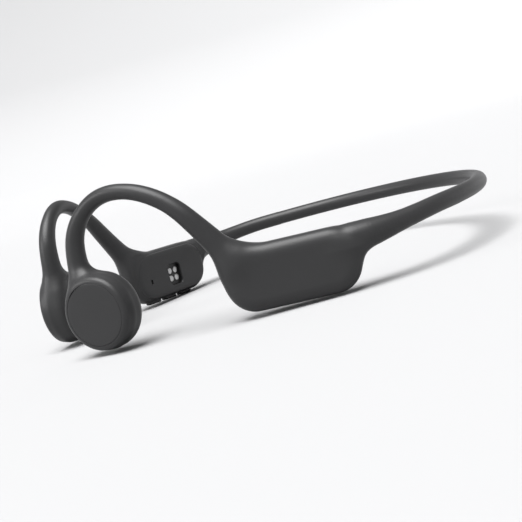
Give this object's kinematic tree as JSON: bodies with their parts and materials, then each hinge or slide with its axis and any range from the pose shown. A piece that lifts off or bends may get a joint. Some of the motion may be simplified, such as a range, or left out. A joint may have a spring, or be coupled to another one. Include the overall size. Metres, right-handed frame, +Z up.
{
  "type": "bone conduction headphones",
  "caption": "Open-ear bone conduction headphones: a springy neckband, ear hooks, housings behind the ears and round transducer pods.",
  "frame": {"origin": "centre of the bounding box's bottom face, under the middle of the worn loop", "axes": "+Z up as worn, -Y the way the wearer faces, +X the wearer's left; the neckband lies level"},
  "size_m": [0.1382, 0.1465, 0.0458],
  "materials": {
    "silicone_skin": "soft satin charcoal silicone",
    "moulded_shell": "satin charcoal moulded nylon with a soft-touch coat",
    "button_plastic": "fine matt black moulded plastic",
    "seal_rubber": "matt black rubber",
    "titanium_wire": "drawn titanium alloy",
    "lead_jacket": "smooth jacketed leads",
    "yoke_steel": "nickel-plated steel",
    "magnet_plating": "bright nickel",
    "coil_copper": "enamelled copper winding",
    "spring_steel": "thin spring steel",
    "switch_black": "black moulding",
    "board_green": "glass-epoxy board with solder mask",
    "can_steel": "tinned shield",
    "antenna_ceramic": "pale ceramic",
    "cell_wrap": "aluminised pouch",
    "foam": "open-cell foam",
    "carrier_plastic": "black moulded carrier",
    "contact_plating": "satin plated contacts"
  },
  "bodies": {
    "left_unit": {"battery_board": "board_green", "battery_cell": "cell_wrap", "battery_foam": "foam", "left_hook_leads": "lead_jacket", "left_hook_sleeve": "silicone_skin", "left_hook_wire": "titanium_wire", "left_housing_base": "moulded_shell", "left_housing_cover": "moulded_shell", "left_housing_seal": "seal_rubber", "left_neckband_sleeve": "silicone_skin", "left_pod_seal": "seal_rubber", "left_pod_shell": "moulded_shell", "left_pod_skin_shell": "moulded_shell", "left_transducer_magnet": "magnet_plating", "left_transducer_pole_plate": "yoke_steel", "left_transducer_spring": "spring_steel", "left_transducer_yoke": "yoke_steel", "left_voice_coil": "coil_copper", "multifunction_switch": "switch_black", "neckband_flex_sleeve": "silicone_skin", "neckband_leads": "lead_jacket", "neckband_wire": "titanium_wire"},
    "multifunction_button": {"multifunction_button_cap": "moulded_shell"},
    "right_unit": {"antenna": "antenna_ceramic", "button_switches": "switch_black", "charge_contact_carrier": "carrier_plastic", "charge_contacts": "contact_plating", "charge_magnets": "magnet_plating", "main_board": "board_green", "memory_chip": "switch_black", "microphone": "switch_black", "microphone_mesh": "can_steel", "processor_can": "can_steel", "right_hook_leads": "lead_jacket", "right_hook_sleeve": "silicone_skin", "right_hook_wire": "titanium_wire", "right_housing_base": "moulded_shell", "right_housing_cover": "moulded_shell", "right_housing_seal": "seal_rubber", "right_neckband_sleeve": "silicone_skin", "right_pod_cap": "moulded_shell", "right_pod_seal": "seal_rubber", "right_pod_shell": "moulded_shell", "right_pod_skin_shell": "moulded_shell", "right_transducer_magnet": "magnet_plating", "right_transducer_pole_plate": "yoke_steel", "right_transducer_spring": "spring_steel", "right_transducer_yoke": "yoke_steel", "right_voice_coil": "coil_copper", "switch_board": "board_green"},
    "volume_up": {"volume_up_button": "button_plastic"},
    "volume_down": {"volume_down_button": "button_plastic"},
    "mode": {"mode_button": "button_plastic"}
  },
  "joints": [
    {"name": "neckband_flex", "type": "hinge", "parent": "left_unit", "child": "right_unit", "pos_m": [0, 0.071, 0.0158], "axis": [0, 0, -1], "range_deg": [-5, 40], "stiffness_Nm_per_rad": 0.2, "deforming": ["neckband_flex_sleeve", "neckband_wire", "neckband_leads"]},
    {"name": "multifunction_press", "type": "slide", "parent": "left_unit", "child": "multifunction_button", "axis": [-0.6157, 0.788, 0], "range_m": [0, 0.0004], "stiffness_N_per_m": 800},
    {"name": "volume_up_press", "type": "slide", "parent": "right_unit", "child": "volume_up", "axis": [-0.0205, 0.0385, 0.999], "range_m": [0, 0.0004], "stiffness_N_per_m": 800},
    {"name": "volume_down_press", "type": "slide", "parent": "right_unit", "child": "volume_down", "axis": [-0.0205, 0.0385, 0.999], "range_m": [0, 0.0004], "stiffness_N_per_m": 800},
    {"name": "mode_press", "type": "slide", "parent": "right_unit", "child": "mode", "axis": [-0.0205, 0.0385, 0.999], "range_m": [0, 0.0004], "stiffness_N_per_m": 800}
  ]
}
